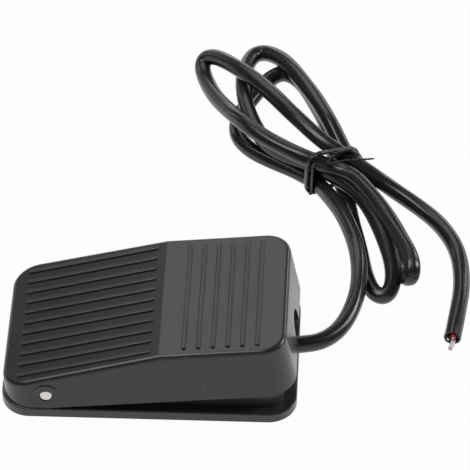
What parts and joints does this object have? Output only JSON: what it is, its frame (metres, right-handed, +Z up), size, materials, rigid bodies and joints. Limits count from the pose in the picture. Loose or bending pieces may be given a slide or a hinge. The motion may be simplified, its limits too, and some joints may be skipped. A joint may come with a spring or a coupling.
{
  "type": "foot switch",
  "caption": "Hinged pedal foot switch: a ribbed black cover on a low base, held up by a spring over a snap-action switch, with a tied cord that ends in cut cores.",
  "frame": {"origin": "middle of the base, on the surface that its feet stand on", "axes": "+X towards the end that the cord leaves by, +Z up, hinge pin along Y"},
  "size_m": [0.1614, 0.1924, 0.0339],
  "materials": {
    "base_plastic": "moulded black",
    "pedal_plastic": "moulded black, satin",
    "bare_steel": "bare steel",
    "switch_plastic": "moulded black",
    "switch_cover_plastic": "moulded dark grey",
    "plunger_plastic": "moulded red",
    "brass_contact": "tinned brass",
    "clamp_plastic": "moulded black",
    "cord_jacket": "flexible black jacket",
    "tie_plastic": "shiny black",
    "foot_rubber": "soft black",
    "core_red": "red insulation",
    "core_white": "white insulation",
    "core_dark": "dark insulation"
  },
  "bodies": {
    "base": {"base_shell": "base_plastic", "pivot_pin": "bare_steel", "return_spring": "bare_steel", "switch_case": "switch_plastic", "switch_cover": "switch_cover_plastic", "lever_bracket": "bare_steel", "terminal_common": "brass_contact", "terminal_open": "brass_contact", "terminal_closed": "brass_contact", "switch_screws": "bare_steel", "cord_clamp": "clamp_plastic", "clamp_screws": "bare_steel", "cord_lead": "cord_jacket", "cord_hank": "cord_jacket", "cord_tail": "cord_jacket", "cord_tie": "tie_plastic", "foot_front_left": "foot_rubber", "foot_front_right": "foot_rubber", "foot_rear_left": "foot_rubber", "foot_rear_right": "foot_rubber", "cut_core_red": "core_red", "cut_core_white": "core_white", "cut_core_dark": "core_dark", "wire_red": "core_red", "wire_white": "core_white", "wire_dark": "core_dark", "connector_closed": "brass_contact", "connector_open": "brass_contact", "connector_common": "brass_contact"},
    "pedal": {"pedal_cover": "pedal_plastic"},
    "lever": {"switch_lever": "bare_steel"},
    "plunger": {"switch_plunger": "plunger_plastic"},
    "blade": {"contact_blade": "brass_contact"}
  },
  "joints": [
    {"name": "pedal_hinge", "type": "hinge", "parent": "base", "child": "pedal", "pos_m": [-0.0349, 0, 0.0104], "axis": [0, 1, 0], "range_deg": [0, 6.4], "stiffness_Nm_per_rad": 0.8, "springref_deg": -20.05, "deforming": ["return_spring"]},
    {"name": "lever_hinge", "type": "hinge", "parent": "base", "child": "lever", "pos_m": [0.0198, 0, 0.0201], "axis": [0, -1, 0], "range_deg": [0, 11.2]},
    {"name": "plunger_slide", "type": "slide", "parent": "base", "child": "plunger", "axis": [0, 0, -1], "range_m": [0, 0.00118]},
    {"name": "blade_hinge", "type": "hinge", "parent": "base", "child": "blade", "pos_m": [0.0166, 0, 0.01155], "axis": [0, -1, 0], "range_deg": [0, 2.6]}
  ],
  "couplings": [
    {"joint": "lever_hinge", "follows": "pedal_hinge", "ratio": 1.748},
    {"joint": "plunger_slide", "follows": "pedal_hinge", "m_per_rad": 0.01043},
    {"joint": "blade_hinge", "follows": "pedal_hinge", "ratio": 0.4}
  ]
}
